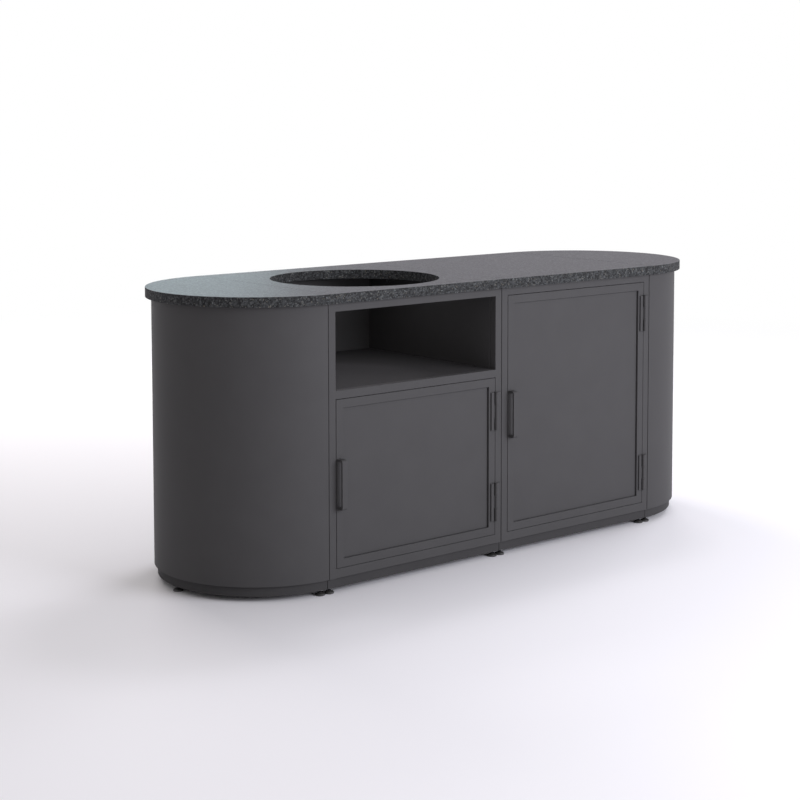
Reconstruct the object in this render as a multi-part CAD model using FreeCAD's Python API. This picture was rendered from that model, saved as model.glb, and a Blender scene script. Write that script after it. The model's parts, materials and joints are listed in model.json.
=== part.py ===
import FreeCAD, Part
import math
import os

from FreeCAD import Vector

# Modular outdoor kitchen: two half-round ends, a module with an open niche for a round
# charcoal grill, and a cupboard module, tied together under a worktop of four stone slabs.
# Millimetres. Origin on the floor under the middle of the row, +X to the right along the
# front, +Y to the back, +Z up. Every module is a welded tube frame with sheet infill.

os.makedirs("parts", exist_ok=True)

# The row of modules
MODULE_PITCH = 680.0        # seam to seam, each box module
SEAM_GAP = 2.0              # free gap between neighbouring modules
CARCASS_DEPTH = 668.0       # front face to back face, and width of the half-round ends
TOP_HEIGHT = 890.0          # floor to the top of the slabs

# Worktop
SLAB_THICKNESS = 30.0
SLAB_OVERHANG = 18.0        # past the carcass, all round
SLAB_JOINT = 1.0            # grout line between two slabs
SLAB_ARRIS = 1.5            # small chamfer along every exposed slab edge
GRILL_HOLE_RADIUS = 267.0
GRILL_HOLE_FORWARD = 18.0   # hole centre in front of the middle of the depth

# Tube and sheet
TUBE = 25.0                 # square tube of the carcass frames
BOTTOM_RAIL = 28.0          # height of the lowest rail
SHEET = 2.0
SHEET_FIT = 0.5             # free edge all round a floor sheet
NICHE_HEIGHT = 232.0        # clear height from the shelf to the top rail
SHELF_THICKNESS = 3.0
BEARER_SPREAD = 220.0       # between the two middle bearers under the shelf

# Base frames and feet
BASE_TUBE = 30.0
BASE_INSET = 10.0           # behind the carcass, front and back and round the ends
BASE_CLEARANCE = 17.0       # floor to the base frame
INSERT_RADIUS = 8.0         # threaded insert pressed into the base tube
INSERT_FLANGE = 11.0        # radius of its flange
INSERT_FLANGE_THICKNESS = 1.5
INSERT_TOP_ROOM = 10.0      # base tube left above the insert
FOOT_STEM_RADIUS = 5.0
FOOT_STEM_CLEARANCE = 0.08  # thread clearance, radial
FOOT_PAD_RADIUS = 15.0
FOOT_PAD_RIM = 5.0          # straight height of the pad
FOOT_PAD_HEIGHT = 9.0       # with its cone
FOOT_CONE_RADIUS = 7.0      # top of the cone
FOOT_PAD_CHAMFER = 1.0
FOOT_RAISE = 6.0            # the foot screws in this far from rest
FOOT_STEM_SHORT = 1.0       # stem end below the top of the insert at rest

# Doors
DOOR_GAP = 1.5              # all round between door and frame
DOOR_BORDER = 26.0          # visible width of the door's tube border
DOOR_DEPTH = 25.0
DOOR_RECESS = 6.5           # panel face behind the border's face

# Bow handle of flat bar
HANDLE_LENGTH = 150.0
HANDLE_WIDTH = 18.0
HANDLE_BAR = 7.0
HANDLE_REACH = 26.0         # door face to the front of the bar
HANDLE_EDGE = 2.0           # bar to the door's free edge
HANDLE_BEND = 9.0           # outer radius of the two bends
SCREW_RADIUS = 2.0
SCREW_CLEARANCE = 0.05
SCREW_BITE = 12.0           # length of screw inside the handle's leg
SCREW_HEAD_RADIUS = 3.8
SCREW_HEAD_HEIGHT = 2.6

# Butt hinges
HINGE_HEIGHT = 120.0
HINGE_INSET = 105.0         # hinge centre from the door's top or bottom edge
HINGE_LEAF = 19.5           # leaf edge from the hinge axis
HINGE_LEAF_THICKNESS = 5.0
HINGE_BARREL_RADIUS = 6.0
HINGE_PIN_RADIUS = 3.0
HINGE_PIN_CLEARANCE = 0.05
HINGE_PIN_HEAD = 1.5
HINGE_PLAY = 0.5            # between knuckles, and round the barrel
HINGE_FACE_CLEARANCE = 0.3  # barrel to the door and frame faces

# Magnet catch behind the door's free edge
CATCH_WIDTH = 20.0
CATCH_DEPTH = 22.0
CATCH_HEIGHT = 40.0
CATCH_PLATE = 2.0           # steel pole plate on the front of the catch
CATCH_PLATE_MARGIN = 3.0
CATCH_GAP = 0.3

# Bolts that tie two modules together at a seam
BOLT_RADIUS = 4.0
BOLT_CLEARANCE = 0.5
BOLT_SPREAD = 400.0         # front bolt to back bolt
BOLT_HEX = 13.0             # across the flats of head and nut
BOLT_HEAD = 5.3
NUT_HEIGHT = 6.5
BOLT_END = 2.0              # bolt past the nut

# Levels and lines that follow from the sizes above
HALF_DEPTH = CARCASS_DEPTH / 2
HALF_WIDTH = (MODULE_PITCH - SEAM_GAP) / 2
SEAM_SIDE = SEAM_GAP / 2
CARCASS_BOTTOM = BASE_CLEARANCE + BASE_TUBE
CARCASS_TOP = TOP_HEIGHT - SLAB_THICKNESS
FLOOR_TOP = CARCASS_BOTTOM + SHEET
RAIL_TOP = CARCASS_BOTTOM + BOTTOM_RAIL
HEAD_RAIL = CARCASS_TOP - TUBE
SHELF_TOP = HEAD_RAIL - NICHE_HEIGHT
BEARER_TOP = SHELF_TOP - SHELF_THICKNESS
FRAME_INNER_X = HALF_WIDTH - TUBE
FRAME_INNER_Y = HALF_DEPTH - TUBE
ROOM_X = FRAME_INNER_X - SHEET
ROOM_BACK = FRAME_INNER_Y - SHEET
BASE_HALF_DEPTH = HALF_DEPTH - BASE_INSET
FOOT_LINE = BASE_HALF_DEPTH - BASE_TUBE / 2
INSERT_TOP = CARCASS_BOTTOM - INSERT_TOP_ROOM
STEM_TOP = INSERT_TOP - FOOT_STEM_SHORT
KAMADO_X = -MODULE_PITCH / 2
CUPBOARD_X = MODULE_PITCH / 2


def block(x0, x1, y0, y1, z0, z1):
    """Box between two corners."""
    return Part.makeBox(x1 - x0, y1 - y0, z1 - z0, Vector(x0, y0, z0))


def rod(radius, start, end):
    """Round bar from one point to another."""
    way = end.sub(start)
    return Part.makeCylinder(radius, way.Length, start, way)


def half_round(radius, start_x, z0, z1):
    """Prism of the part of a disc round the Z axis that lies past start_x."""
    half_chord = math.sqrt(radius ** 2 - start_x ** 2)
    lower = Vector(start_x, -half_chord, z0)
    upper = Vector(start_x, half_chord, z0)
    bow = Part.Arc(lower, Vector(radius, 0, z0), upper).toShape()
    outline = Part.Wire([bow, Part.makeLine(upper, lower)])
    return Part.Face(outline).extrude(Vector(0, 0, z1 - z0))


def curved_rail(outer, width, start_x, z0, z1):
    """Rolled bar that follows the half round."""
    inner = half_round(outer - width, start_x, z0, z1)
    return half_round(outer, start_x, z0, z1).cut(inner)


def chord_at(radius, x):
    """Half the width of a disc at a distance x from its centre."""
    return math.sqrt(radius ** 2 - x ** 2)


def hexagon(flats, height, base):
    """Hex prism along +X from its base point."""
    corner = flats / math.sqrt(3)
    turns = [math.radians(60 * step) for step in range(7)]
    ring = [base.add(Vector(0, corner * math.cos(a), corner * math.sin(a))) for a in turns]
    return Part.Face(Part.makePolygon(ring)).extrude(Vector(height, 0, 0))


def placed(shape, x, turned=False):
    """Copy of a module's shape at its place in the row, turned half round for the left end."""
    copy = shape.copy()
    if turned:
        copy.rotate(Vector(0, 0, 0), Vector(0, 0, 1), 180)
    copy.translate(Vector(x, 0, 0))
    return copy


def save(name, solids):
    """Write one node, a single solid or a group of separate solids."""
    shape = solids[0] if len(solids) == 1 else Part.makeCompound(solids)
    shape.exportStep(f"parts/{name}.step")


# Bolts along X at each seam, through the side rails and the lining on both sides
BOLT_PLACES = [
    (side * BOLT_SPREAD / 2, z)
    for side in (-1, 1)
    for z in (CARCASS_BOTTOM + BOTTOM_RAIL / 2, CARCASS_TOP - TUBE / 2)
]


def bolt_bores(x0, x1):
    """Clearance holes for the seam bolts between two places along X."""
    radius = BOLT_RADIUS + BOLT_CLEARANCE
    return Part.makeCompound([rod(radius, Vector(x0, y, z), Vector(x1, y, z)) for y, z in BOLT_PLACES])


def foot_bores(places):
    """Blind holes up into the base tube, deep enough for a foot that is screwed right in."""
    depth_top = STEM_TOP + FOOT_RAISE + FOOT_STEM_SHORT
    return Part.makeCompound(
        [rod(INSERT_RADIUS, Vector(x, y, BASE_CLEARANCE), Vector(x, y, depth_top)) for x, y in places]
    )


# Feet stand under the middle of the base tubes
BOX_FEET = {
    f"{depth_name}_{side_name}": (side * (HALF_WIDTH - BASE_TUBE / 2), depth * FOOT_LINE)
    for depth_name, depth in (("front", -1), ("back", 1))
    for side_name, side in (("left", -1), ("right", 1))
}
END_FOOT_X = SEAM_SIDE + BASE_TUBE / 2
END_FEET = {
    "front": (END_FOOT_X, -chord_at(FOOT_LINE, END_FOOT_X)),
    "tip": (FOOT_LINE, 0.0),
    "back": (END_FOOT_X, chord_at(FOOT_LINE, END_FOOT_X)),
}


def eased(slab, wanted):
    """Slab with a small chamfer on the edges that the test picks."""
    edges = [edge for edge in slab.Edges if wanted(edge)]
    return slab.makeChamfer(SLAB_ARRIS, edges)


def is_rim(edge):
    """True on a slab's curved edges in the top or bottom face."""
    return isinstance(edge.Curve, Part.Circle)


def is_front_or_back(edge):
    """True on a straight edge that runs along the front or back of the worktop."""
    ends = [vertex.Point for vertex in edge.Vertexes]
    return len(ends) == 2 and abs(ends[0].x - ends[1].x) > MODULE_PITCH / 2


def end_slab():
    slab = half_round(HALF_DEPTH + SLAB_OVERHANG, SLAB_JOINT / 2, CARCASS_TOP, TOP_HEIGHT)
    return eased(slab, is_rim)


def box_slab(with_hole):
    half_x = (MODULE_PITCH - SLAB_JOINT) / 2
    half_y = HALF_DEPTH + SLAB_OVERHANG
    slab = eased(block(-half_x, half_x, -half_y, half_y, CARCASS_TOP, TOP_HEIGHT), is_front_or_back)
    if not with_hole:
        return slab
    low = Vector(0, -GRILL_HOLE_FORWARD, CARCASS_TOP)
    high = Vector(0, -GRILL_HOLE_FORWARD, TOP_HEIGHT)
    return eased(slab.cut(rod(GRILL_HOLE_RADIUS, low, high)), is_rim)


def end_base():
    """Rolled base tube with the three foot holes, closed by a straight tube along the seam."""
    rolled = curved_rail(BASE_HALF_DEPTH, BASE_TUBE, SEAM_SIDE, BASE_CLEARANCE, CARCASS_BOTTOM)
    inner_x = SEAM_SIDE + BASE_TUBE
    reach = chord_at(BASE_HALF_DEPTH - BASE_TUBE, inner_x)
    straight = block(SEAM_SIDE, inner_x, -reach, reach, BASE_CLEARANCE, CARCASS_BOTTOM)
    return [rolled.cut(foot_bores(END_FEET.values())), straight]


def end_frame():
    """Curved and straight rails, two corner posts and a post behind the tip of the skin."""
    outer = HALF_DEPTH - SHEET
    inner_x = SEAM_SIDE + TUBE
    reach = chord_at(outer - TUBE, inner_x)
    corner_y = chord_at(outer, inner_x)
    tip_x = chord_at(outer, TUBE / 2)
    solids = []
    for z0, z1 in ((CARCASS_BOTTOM, RAIL_TOP), (HEAD_RAIL, CARCASS_TOP)):
        solids.append(curved_rail(outer, TUBE, SEAM_SIDE, z0, z1))
        straight = block(SEAM_SIDE, inner_x, -reach, reach, z0, z1)
        solids.append(straight.cut(bolt_bores(SEAM_SIDE, inner_x)))
    for y0 in (-corner_y, corner_y - TUBE):
        solids.append(block(SEAM_SIDE, inner_x, y0, y0 + TUBE, RAIL_TOP, HEAD_RAIL))
    solids.append(block(tip_x - TUBE, tip_x, -TUBE / 2, TUBE / 2, RAIL_TOP, HEAD_RAIL))
    return solids


def end_floor():
    edge = HALF_DEPTH - SHEET - TUBE - SHEET_FIT
    return half_round(edge, SEAM_SIDE + TUBE + SHEET_FIT, CARCASS_BOTTOM, FLOOR_TOP)


def end_skin():
    return curved_rail(HALF_DEPTH, SHEET, SEAM_SIDE, CARCASS_BOTTOM, CARCASS_TOP)


def end_inner_panel():
    x0 = SEAM_SIDE + TUBE
    x1 = x0 + SHEET
    reach = chord_at(HALF_DEPTH - SHEET - TUBE, x1) - SHEET_FIT
    panel = block(x0, x1, -reach, reach, FLOOR_TOP, CARCASS_TOP)
    return panel.cut(bolt_bores(x0, x1))


def box_base():
    """Front and back tubes over the whole width with the foot holes, side tubes between them."""
    inner_y = BASE_HALF_DEPTH - BASE_TUBE
    bores = foot_bores(BOX_FEET.values())
    solids = []
    for y0 in (-BASE_HALF_DEPTH, inner_y):
        bar = block(-HALF_WIDTH, HALF_WIDTH, y0, y0 + BASE_TUBE, BASE_CLEARANCE, CARCASS_BOTTOM)
        solids.append(bar.cut(bores))
    for x0 in (-HALF_WIDTH, HALF_WIDTH - BASE_TUBE):
        solids.append(block(x0, x0 + BASE_TUBE, -inner_y, inner_y, BASE_CLEARANCE, CARCASS_BOTTOM))
    return solids


def box_frame(with_mid_rails):
    """Four posts, top and bottom rails between them, and rails at the shelf of the niche."""
    solids = []
    levels = [(CARCASS_BOTTOM, RAIL_TOP), (HEAD_RAIL, CARCASS_TOP)]
    bores = bolt_bores(-HALF_WIDTH, HALF_WIDTH)
    for x0 in (-HALF_WIDTH, FRAME_INNER_X):
        for y0 in (-HALF_DEPTH, FRAME_INNER_Y):
            solids.append(block(x0, x0 + TUBE, y0, y0 + TUBE, CARCASS_BOTTOM, CARCASS_TOP))
        for z0, z1 in levels:
            rail = block(x0, x0 + TUBE, -FRAME_INNER_Y, FRAME_INNER_Y, z0, z1)
            solids.append(rail.cut(bores))
    if with_mid_rails:
        levels.append((SHELF_TOP - TUBE, SHELF_TOP))
    for y0 in (-HALF_DEPTH, FRAME_INNER_Y):
        for z0, z1 in levels:
            solids.append(block(-FRAME_INNER_X, FRAME_INNER_X, y0, y0 + TUBE, z0, z1))
    return solids


def box_floor():
    half_x = FRAME_INNER_X - SHEET_FIT
    half_y = FRAME_INNER_Y - SHEET_FIT
    return block(-half_x, half_x, -half_y, half_y, CARCASS_BOTTOM, FLOOR_TOP)


def box_side_panel(side):
    """Lining on the inner faces of the side rails, from behind the front posts to the back panel."""
    x0 = min(side * ROOM_X, side * FRAME_INNER_X)
    panel = block(x0, x0 + SHEET, -FRAME_INNER_Y, ROOM_BACK, FLOOR_TOP, CARCASS_TOP)
    return panel.cut(bolt_bores(-HALF_WIDTH, HALF_WIDTH))


def box_back_panel():
    return block(-FRAME_INNER_X, FRAME_INNER_X, ROOM_BACK, FRAME_INNER_Y, FLOOR_TOP, CARCASS_TOP)


def shelf_bearers():
    """Four tubes from the front rail to the back, at the sides and under the grill."""
    middles = [-ROOM_X + TUBE / 2, -BEARER_SPREAD / 2, BEARER_SPREAD / 2, ROOM_X - TUBE / 2]
    return [
        block(x - TUBE / 2, x + TUBE / 2, -FRAME_INNER_Y, ROOM_BACK, BEARER_TOP - TUBE, BEARER_TOP)
        for x in middles
    ]


def shelf():
    return block(-ROOM_X, ROOM_X, -FRAME_INNER_Y, ROOM_BACK, BEARER_TOP, SHELF_TOP)


def foot(x, y):
    """Levelling foot turned about Z: chamfered pad, cone and screwed stem."""
    profile = [
        (0, 0),
        (FOOT_PAD_RADIUS - FOOT_PAD_CHAMFER, 0),
        (FOOT_PAD_RADIUS, FOOT_PAD_CHAMFER),
        (FOOT_PAD_RADIUS, FOOT_PAD_RIM),
        (FOOT_CONE_RADIUS, FOOT_PAD_HEIGHT),
        (FOOT_STEM_RADIUS, FOOT_PAD_HEIGHT),
        (FOOT_STEM_RADIUS, STEM_TOP),
        (0, STEM_TOP),
        (0, 0),
    ]
    outline = Part.makePolygon([Vector(x + r, y, z) for r, z in profile])
    return Part.Face(outline).revolve(Vector(x, y, 0), Vector(0, 0, 1), 360)


def foot_insert(x, y):
    """Threaded bush in the base tube with a flange under it."""
    flange_bottom = BASE_CLEARANCE - INSERT_FLANGE_THICKNESS
    low = Vector(x, y, flange_bottom)
    high = Vector(x, y, INSERT_TOP)
    flange = rod(INSERT_FLANGE, low, Vector(x, y, BASE_CLEARANCE))
    bush = flange.fuse(rod(INSERT_RADIUS, low, high))
    return bush.cut(rod(FOOT_STEM_RADIUS + FOOT_STEM_CLEARANCE, low, high)).removeSplitter()


def seam_bolt(seam_x, y, z):
    """Hex bolt from the left lining through both side rails, and its nut on the right lining."""
    grip = SEAM_SIDE + TUBE + SHEET
    left = Vector(seam_x - grip, y, z)
    right = Vector(seam_x + grip, y, z)
    tip = Vector(right.x + NUT_HEIGHT + BOLT_END, y, z)
    head = hexagon(BOLT_HEX, BOLT_HEAD, Vector(left.x - BOLT_HEAD, y, z))
    bolt = head.fuse(rod(BOLT_RADIUS, left, tip)).removeSplitter()
    nut = hexagon(BOLT_HEX, NUT_HEIGHT, right)
    return [bolt, nut.cut(rod(BOLT_RADIUS, right, tip))]


def handle(left_x, face_y, middle_z):
    """Bow of flat bar, its two legs against the door's face."""
    right_x = left_x + HANDLE_WIDTH
    front_y = face_y - HANDLE_REACH
    low = middle_z - HANDLE_LENGTH / 2
    high = middle_z + HANDLE_LENGTH / 2

    def bow(y0, z0, z1, radius):
        """Block whose two front corners, seen from the side, are rounded."""
        plain = block(left_x, right_x, y0, face_y, z0, z1)
        corners = [
            edge
            for edge in plain.Edges
            if all(abs(vertex.Point.y - y0) < HANDLE_BAR / 2 for vertex in edge.Vertexes)
            and abs(edge.Vertexes[0].Point.x - edge.Vertexes[1].Point.x) > HANDLE_BAR / 2
        ]
        return plain.makeFillet(radius, corners)

    inner_bend = HANDLE_BEND - HANDLE_BAR
    inside = bow(front_y + HANDLE_BAR, low + HANDLE_BAR, high - HANDLE_BAR, inner_bend)
    return bow(front_y, low, high, HANDLE_BEND).cut(inside)


def screw_way(x, face_y, z, radius):
    """Straight way of a handle screw, from the back of the door into the handle's leg."""
    return rod(radius, Vector(x, face_y + DOOR_DEPTH, z), Vector(x, face_y - SCREW_BITE, z))


def handle_screw(x, face_y, z):
    back = Vector(x, face_y + DOOR_DEPTH, z)
    head = rod(SCREW_HEAD_RADIUS, back, back.add(Vector(0, SCREW_HEAD_HEIGHT, 0)))
    return screw_way(x, face_y, z, SCREW_RADIUS).fuse(head).removeSplitter()


def hinge_leaf(side, knuckles):
    """Leaf on the left (-1) or right (1) of the hinge axis, with its own knuckles and bore.

    The axis is the Z axis, and the faces that the leaves lie on are at y = face.
    """
    face = HINGE_BARREL_RADIUS + HINGE_FACE_CLEARANCE
    near = HINGE_BARREL_RADIUS + HINGE_PLAY
    back = face - HINGE_LEAF_THICKNESS
    x0, x1 = sorted((side * near, side * HINGE_LEAF))
    leaf = block(x0, x1, back, face, 0, HINGE_HEIGHT)
    for z0, z1 in knuckles:
        x0, x1 = sorted((0, side * near))
        tongue = block(x0, x1, back, face, z0, z1)
        leaf = leaf.fuse(tongue).fuse(rod(HINGE_BARREL_RADIUS, Vector(0, 0, z0), Vector(0, 0, z1)))
    bore = rod(HINGE_PIN_RADIUS + HINGE_PIN_CLEARANCE, Vector(0, 0, 0), Vector(0, 0, HINGE_HEIGHT))
    return leaf.cut(bore).removeSplitter()


def hinge_pin():
    """Pin through the three knuckles with a flat head on the top one."""
    top = Vector(0, 0, HINGE_HEIGHT)
    head = rod(HINGE_BARREL_RADIUS, top, top.add(Vector(0, 0, HINGE_PIN_HEAD)))
    return rod(HINGE_PIN_RADIUS, Vector(0, 0, 0), top).fuse(head).removeSplitter()


def catch(left_x, middle_z):
    """Magnet housing on the left lining, with a pole plate just behind the closed door."""
    front = -FRAME_INNER_Y + CATCH_GAP
    right_x = left_x + CATCH_WIDTH
    low = middle_z - CATCH_HEIGHT / 2
    high = middle_z + CATCH_HEIGHT / 2
    plate_back = front + CATCH_PLATE
    margin = CATCH_PLATE_MARGIN
    plate = block(left_x + margin, right_x - margin, front, plate_back, low + margin, high - margin)
    return [block(left_x, right_x, plate_back, plate_back + CATCH_DEPTH, low, high), plate]


def build_door(name, module_x, opening_low, opening_high):
    """Inset door hung on its right edge, with everything that belongs to it."""
    left = module_x - FRAME_INNER_X + DOOR_GAP
    right = module_x + FRAME_INNER_X - DOOR_GAP
    low = opening_low + DOOR_GAP
    high = opening_high - DOOR_GAP
    face = -HALF_DEPTH
    back = face + DOOR_DEPTH
    middle = (low + high) / 2

    handle_x = left + HANDLE_EDGE
    screw_x = handle_x + HANDLE_WIDTH / 2
    leg = (HANDLE_LENGTH - HANDLE_BAR) / 2
    screw_levels = (middle - leg, middle + leg)
    hole = SCREW_RADIUS + SCREW_CLEARANCE
    screw_holes = Part.makeCompound([screw_way(screw_x, face, z, hole) for z in screw_levels])

    inner_left = left + DOOR_BORDER
    inner_right = right - DOOR_BORDER
    inner_low = low + DOOR_BORDER
    inner_high = high - DOOR_BORDER
    save(f"{name}_frame", [
        block(left, inner_left, face, back, low, high).cut(screw_holes),
        block(inner_right, right, face, back, low, high),
        block(inner_left, inner_right, face, back, low, inner_low),
        block(inner_left, inner_right, face, back, inner_high, high),
    ])
    panel_y = face + DOOR_RECESS
    save(f"{name}_panel", [block(inner_left, inner_right, panel_y, panel_y + SHEET, inner_low, inner_high)])
    save(f"{name}_handle", [handle(handle_x, face, middle).cut(screw_holes)])
    save(f"{name}_handle_screws", [handle_screw(screw_x, face, z) for z in screw_levels])

    third = HINGE_HEIGHT / 3
    play = HINGE_PLAY / 2
    frame_knuckles = [(0, third - play), (2 * third + play, HINGE_HEIGHT)]
    door_knuckles = [(third + play, 2 * third - play)]
    axis_y = face - HINGE_BARREL_RADIUS - HINGE_FACE_CLEARANCE
    pieces = {
        "hinge_door_leaves": hinge_leaf(-1, door_knuckles),
        "hinge_frame_leaves": hinge_leaf(1, frame_knuckles),
        "hinge_pins": hinge_pin(),
    }
    for piece, shape in pieces.items():
        solids = []
        for hinge_middle in (low + HINGE_INSET, high - HINGE_INSET):
            copy = shape.copy()
            copy.translate(Vector(right + DOOR_GAP / 2, axis_y, hinge_middle - HINGE_HEIGHT / 2))
            solids.append(copy)
        save(f"{name}_{piece}", solids)
    save(f"{name}_catch", catch(module_x - ROOM_X, middle))


# Worktop slabs
save("worktop_left_end", [placed(end_slab(), -MODULE_PITCH, turned=True)])
save("worktop_kamado", [placed(box_slab(with_hole=True), KAMADO_X)])
save("worktop_cupboard", [placed(box_slab(with_hole=False), CUPBOARD_X)])
save("worktop_right_end", [placed(end_slab(), MODULE_PITCH)])

# Half-round end modules
for end_name, seam_x, turned in (("left_end", -MODULE_PITCH, True), ("right_end", MODULE_PITCH, False)):
    pieces = {
        "base_frame": end_base(),
        "frame": end_frame(),
        "floor": [end_floor()],
        "skin": [end_skin()],
        "inner_panel": [end_inner_panel()],
    }
    for piece, solids in pieces.items():
        save(f"{end_name}_{piece}", [placed(solid, seam_x, turned) for solid in solids])

# Box modules
for module_name, module_x, has_niche in (("kamado", KAMADO_X, True), ("cupboard", CUPBOARD_X, False)):
    pieces = {
        "base_frame": box_base(),
        "frame": box_frame(with_mid_rails=has_niche),
        "floor": [box_floor()],
        "left_panel": [box_side_panel(-1)],
        "right_panel": [box_side_panel(1)],
        "back_panel": [box_back_panel()],
    }
    if has_niche:
        pieces["shelf_bearers"] = shelf_bearers()
        pieces["shelf"] = [shelf()]
    for piece, solids in pieces.items():
        save(f"{module_name}_{piece}", [placed(solid, module_x) for solid in solids])

# Doors
build_door("lower_door", KAMADO_X, RAIL_TOP, SHELF_TOP - TUBE)
build_door("tall_door", CUPBOARD_X, RAIL_TOP, HEAD_RAIL)

# Levelling feet, one node each because each is set by itself, and their inserts
inserts = []
for module_name, module_x, feet, turned in (
    ("left_end", -MODULE_PITCH, END_FEET, True),
    ("kamado", KAMADO_X, BOX_FEET, False),
    ("cupboard", CUPBOARD_X, BOX_FEET, False),
    ("right_end", MODULE_PITCH, END_FEET, False),
):
    for foot_name, (foot_x, foot_y) in feet.items():
        # Half a turn brings the left end's back foot to the front
        names = {"front": "back", "back": "front"} if turned else {}
        node = f"foot_{module_name}_{names.get(foot_name, foot_name)}"
        save(node, [placed(foot(foot_x, foot_y), module_x, turned)])
        inserts.append(placed(foot_insert(foot_x, foot_y), module_x, turned))
save("foot_inserts", inserts)

# Bolts and nuts at the three seams
bolts = []
for seam_x in (-MODULE_PITCH, 0.0, MODULE_PITCH):
    for bolt_y, bolt_z in BOLT_PLACES:
        bolts.extend(seam_bolt(seam_x, bolt_y, bolt_z))
save("module_bolts", bolts)
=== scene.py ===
import json
import math

import bmesh
import bpy
import numpy as np
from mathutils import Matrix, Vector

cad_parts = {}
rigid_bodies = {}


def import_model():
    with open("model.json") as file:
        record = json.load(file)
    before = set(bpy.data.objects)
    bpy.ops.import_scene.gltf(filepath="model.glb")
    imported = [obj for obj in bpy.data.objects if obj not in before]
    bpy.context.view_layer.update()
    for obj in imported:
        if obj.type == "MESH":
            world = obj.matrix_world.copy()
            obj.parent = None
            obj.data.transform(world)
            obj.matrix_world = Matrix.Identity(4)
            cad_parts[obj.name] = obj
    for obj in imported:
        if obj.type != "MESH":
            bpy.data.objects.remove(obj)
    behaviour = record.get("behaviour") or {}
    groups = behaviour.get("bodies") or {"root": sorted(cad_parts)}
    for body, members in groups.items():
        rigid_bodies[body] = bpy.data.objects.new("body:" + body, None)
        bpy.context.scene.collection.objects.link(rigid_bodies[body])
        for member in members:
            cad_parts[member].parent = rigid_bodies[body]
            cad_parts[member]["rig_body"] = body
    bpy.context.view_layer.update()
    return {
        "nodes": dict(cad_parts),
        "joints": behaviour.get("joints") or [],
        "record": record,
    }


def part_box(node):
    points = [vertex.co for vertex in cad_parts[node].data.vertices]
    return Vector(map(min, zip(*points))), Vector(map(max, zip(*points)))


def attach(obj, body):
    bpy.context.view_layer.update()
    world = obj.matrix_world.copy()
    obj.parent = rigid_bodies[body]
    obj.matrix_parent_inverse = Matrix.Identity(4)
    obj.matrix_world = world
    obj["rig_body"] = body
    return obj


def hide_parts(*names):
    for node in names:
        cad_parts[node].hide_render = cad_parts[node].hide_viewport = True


# Modular outdoor kitchen: two half-round ends and two box modules of powder-coated steel under
# four granite slabs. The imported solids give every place; what shows is dressed or made anew.
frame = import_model()
scene = bpy.context.scene

# Levelling feet
# A moulded nylon pad on a blackened steel stem with an M10 thread, screwed from below into a
# bush in the base tube. Each one is turned by hand until the row of modules stands level.
MM = 0.001
UP = np.array([0.0, 0.0, 1.0])
PAD_RIM = 5 * MM
PAD_HEIGHT = 9 * MM
PAD_NECK = 7 * MM           # radius where the pad meets the stem
PAD_EASE = [1.0 * MM, 1.6 * MM, 0.8 * MM]
STEM_RADIUS = 5 * MM
THREAD_PITCH = 1.5 * MM
THREAD_DEPTH = 0.8 * MM
MERGE_WITHIN = 1e-7
SHARP_EDGE = math.radians(35)


def linear(hex_colour):
    """An sRGB hex colour as linear red, green, blue and a full alpha."""
    srgb = np.array([int(hex_colour[place:place + 2], 16) for place in (1, 3, 5)]) / 255
    rgb = np.where(srgb > 0.04045, ((srgb + 0.055) / 1.055) ** 2.4, srgb / 12.92)
    return (*rgb, 1.0)


def add_node(tree, kind, inputs, **settings):
    """A shader node with its settings; each input gets a value, or a link from a socket."""
    node = tree.nodes.new("ShaderNode" + kind)
    for name, value in settings.items():
        setattr(node, name, value)
    for name, value in inputs.items():
        if isinstance(value, bpy.types.NodeSocket):
            tree.links.new(value, node.inputs[name])
        else:
            node.inputs[name].default_value = value
    return node


def empty_tree(owner):
    """The node tree of a material or of the world, with nothing in it yet."""
    owner.use_nodes = True
    owner.node_tree.nodes.clear()
    return owner.node_tree


def new_material(name, slot):
    """A material with an empty tree that remembers the record's slot it stands for."""
    material = bpy.data.materials.new(name)
    material["slot"] = slot
    return material, empty_tree(material)


def black_nylon():
    """Black nylon, injection moulded: a dull sheen broken by the fine grain of the mould."""
    material, tree = new_material("black_nylon", "foot_nylon")
    place = add_node(tree, "TexCoord", {}).outputs["Object"]
    grain = add_node(tree, "TexNoise", {"Vector": place, "Scale": 1 / (0.8 * MM), "Detail": 3.0})
    tint = add_node(tree, "MixRGB", {
        "Fac": grain.outputs["Fac"], "Color1": linear("#222120"), "Color2": linear("#302f2e"),
    })
    relief = add_node(tree, "Bump", {"Height": grain.outputs["Fac"], "Distance": 0.08 * MM})
    shader = add_node(tree, "BsdfPrincipled", {
        "Base Color": tint.outputs["Color"], "Roughness": 0.48, "IOR": 1.53,
        "Normal": relief.outputs["Normal"],
    })
    add_node(tree, "OutputMaterial", {"Surface": shader.outputs["BSDF"]})
    return material


def black_steel():
    """Steel with a black zinc coat: nearly black, with a dim metallic glint along the thread."""
    material, tree = new_material("black_steel", "zinc_steel")
    place = add_node(tree, "TexCoord", {}).outputs["Object"]
    patches = add_node(tree, "TexNoise", {"Vector": place, "Scale": 1 / (4 * MM), "Detail": 2.0})
    tint = add_node(tree, "MixRGB", {
        "Fac": patches.outputs["Fac"], "Color1": linear("#2b2b2d"), "Color2": linear("#434346"),
    })
    shine = add_node(tree, "MapRange", {
        "Value": patches.outputs["Fac"], "To Min": 0.32, "To Max": 0.46,
    })
    shader = add_node(tree, "BsdfPrincipled", {
        "Base Color": tint.outputs["Color"], "Metallic": 1.0, "Roughness": shine.outputs["Result"],
    })
    add_node(tree, "OutputMaterial", {"Surface": shader.outputs["BSDF"]})
    return material


def box_of(node):
    """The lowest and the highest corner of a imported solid."""
    low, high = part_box(node)
    return np.array(low), np.array(high)


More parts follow.
